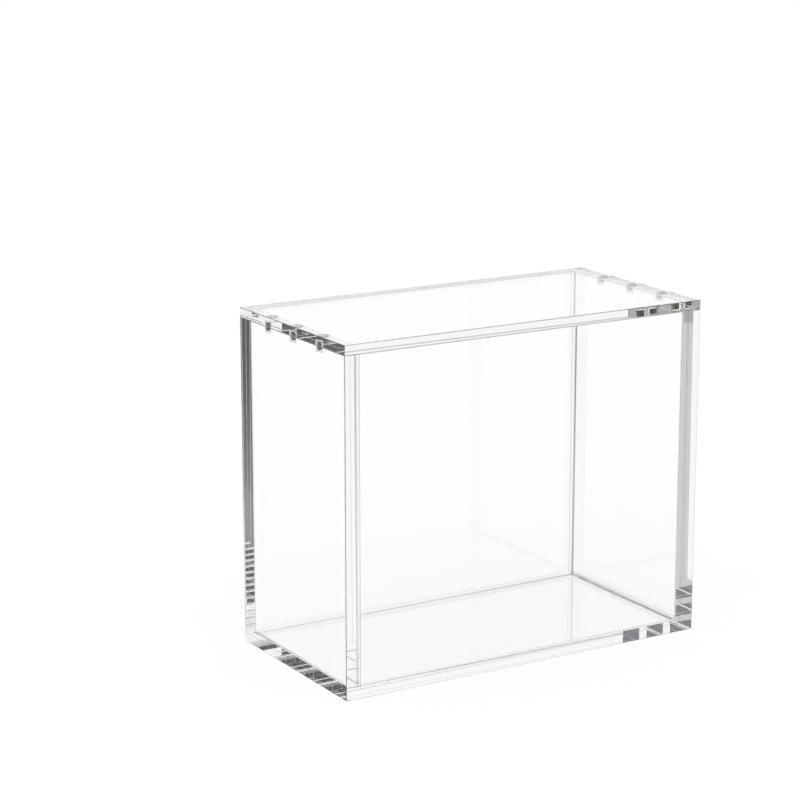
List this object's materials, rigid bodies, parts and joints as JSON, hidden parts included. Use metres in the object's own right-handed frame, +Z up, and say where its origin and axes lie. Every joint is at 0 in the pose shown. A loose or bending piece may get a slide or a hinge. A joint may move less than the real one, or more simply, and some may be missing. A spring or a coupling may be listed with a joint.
{
  "type": "display case",
  "caption": "Clear acrylic display case for a boxed set of trading cards, with flat polished panels and a lift-off lid held by small magnets.",
  "frame": {"origin": "middle of the underside of the base plate, on the surface the case stands on", "axes": "+X to the right along the wide front, +Y to the back, +Z up through the lid"},
  "size_m": [0.21, 0.106, 0.177],
  "materials": {
    "clear_acrylic": "cast clear acrylic sheet, polished edges",
    "nickel_plate": "bright nickel plating"
  },
  "bodies": {
    "box": {"base_plate": "clear_acrylic", "left_wall": "clear_acrylic", "right_wall": "clear_acrylic", "front_wall": "clear_acrylic", "back_wall": "clear_acrylic", "left_wall_magnet_front": "nickel_plate", "left_wall_magnet_middle": "nickel_plate", "left_wall_magnet_back": "nickel_plate", "right_wall_magnet_front": "nickel_plate", "right_wall_magnet_middle": "nickel_plate", "right_wall_magnet_back": "nickel_plate"},
    "lid": {"lid_plate": "clear_acrylic", "left_lid_magnet_front": "nickel_plate", "left_lid_magnet_middle": "nickel_plate", "left_lid_magnet_back": "nickel_plate", "right_lid_magnet_front": "nickel_plate", "right_lid_magnet_middle": "nickel_plate", "right_lid_magnet_back": "nickel_plate"}
  },
  "joints": [
    {"name": "lid_lift", "type": "slide", "parent": "box", "child": "lid", "axis": [0, 0, 1], "range_m": [0, 0.18]}
  ]
}
